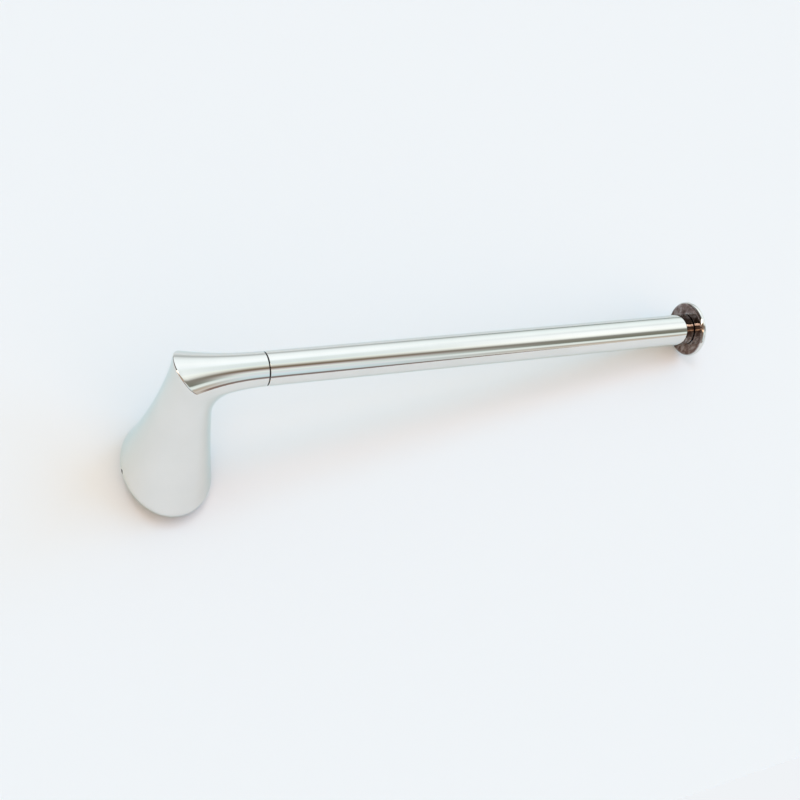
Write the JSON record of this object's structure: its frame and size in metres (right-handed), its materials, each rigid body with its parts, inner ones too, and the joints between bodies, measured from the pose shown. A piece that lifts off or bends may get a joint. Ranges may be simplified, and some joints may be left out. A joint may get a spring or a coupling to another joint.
{
  "type": "wall-mounted paper towel holder",
  "caption": "Wall-mounted paper towel holder: an oval-based elbow post carries a turning tube with a flat round end cap; a set screw locks the post to a wall bracket.",
  "frame": {"origin": "centre of the wall bracket's wall face, on the axis of the post", "axes": "+Z away from the wall along the post, +X along the tube towards the end cap, Y along the long axis of the oval base"},
  "size_m": [0.3488, 0.0656, 0.1085],
  "materials": {
    "chrome": "mirror-polished chrome plate on a die casting",
    "chrome_tube": "mirror-polished chrome plate on a drawn tube",
    "chrome_cap": "mirror-polished chrome plate on a turned cap",
    "zinc_steel": "zinc-plated steel",
    "dark_steel": "blackened steel",
    "black_nylon": "black nylon",
    "white_nylon": "natural nylon"
  },
  "bodies": {
    "bracket": {"wall_bracket": "zinc_steel"},
    "post": {"post": "chrome", "spindle": "zinc_steel", "neck_washer": "black_nylon"},
    "set_screw": {"set_screw": "dark_steel"},
    "tube": {"tube": "chrome_tube", "near_bush": "white_nylon", "far_bush": "white_nylon"},
    "cap_seat": {"cap_washer": "black_nylon"},
    "cap": {"end_cap": "chrome_cap"}
  },
  "joints": [
    {"name": "post_lift", "type": "slide", "parent": "bracket", "child": "post", "axis": [0, 0, 1], "range_m": [0, 0.02]},
    {"name": "set_screw_travel", "type": "slide", "parent": "post", "child": "set_screw", "axis": [-1, 0, 0], "range_m": [0, 0.003]},
    {"name": "tube_spin", "type": "hinge", "parent": "post", "child": "tube", "pos_m": [0.179, 0, 0.0916], "axis": [1, 0, 0], "continuous": true},
    {"name": "cap_advance", "type": "slide", "parent": "post", "child": "cap_seat", "axis": [1, 0, 0], "range_m": [0, 0.0121]},
    {"name": "cap_unscrew", "type": "hinge", "parent": "cap_seat", "child": "cap", "pos_m": [0.319, 0, 0.0916], "axis": [1, 0, 0], "range_deg": [0, 5400]}
  ],
  "couplings": [
    {"joint": "cap_advance", "follows": "cap_unscrew", "m_per_rad": 0.00012732}
  ]
}
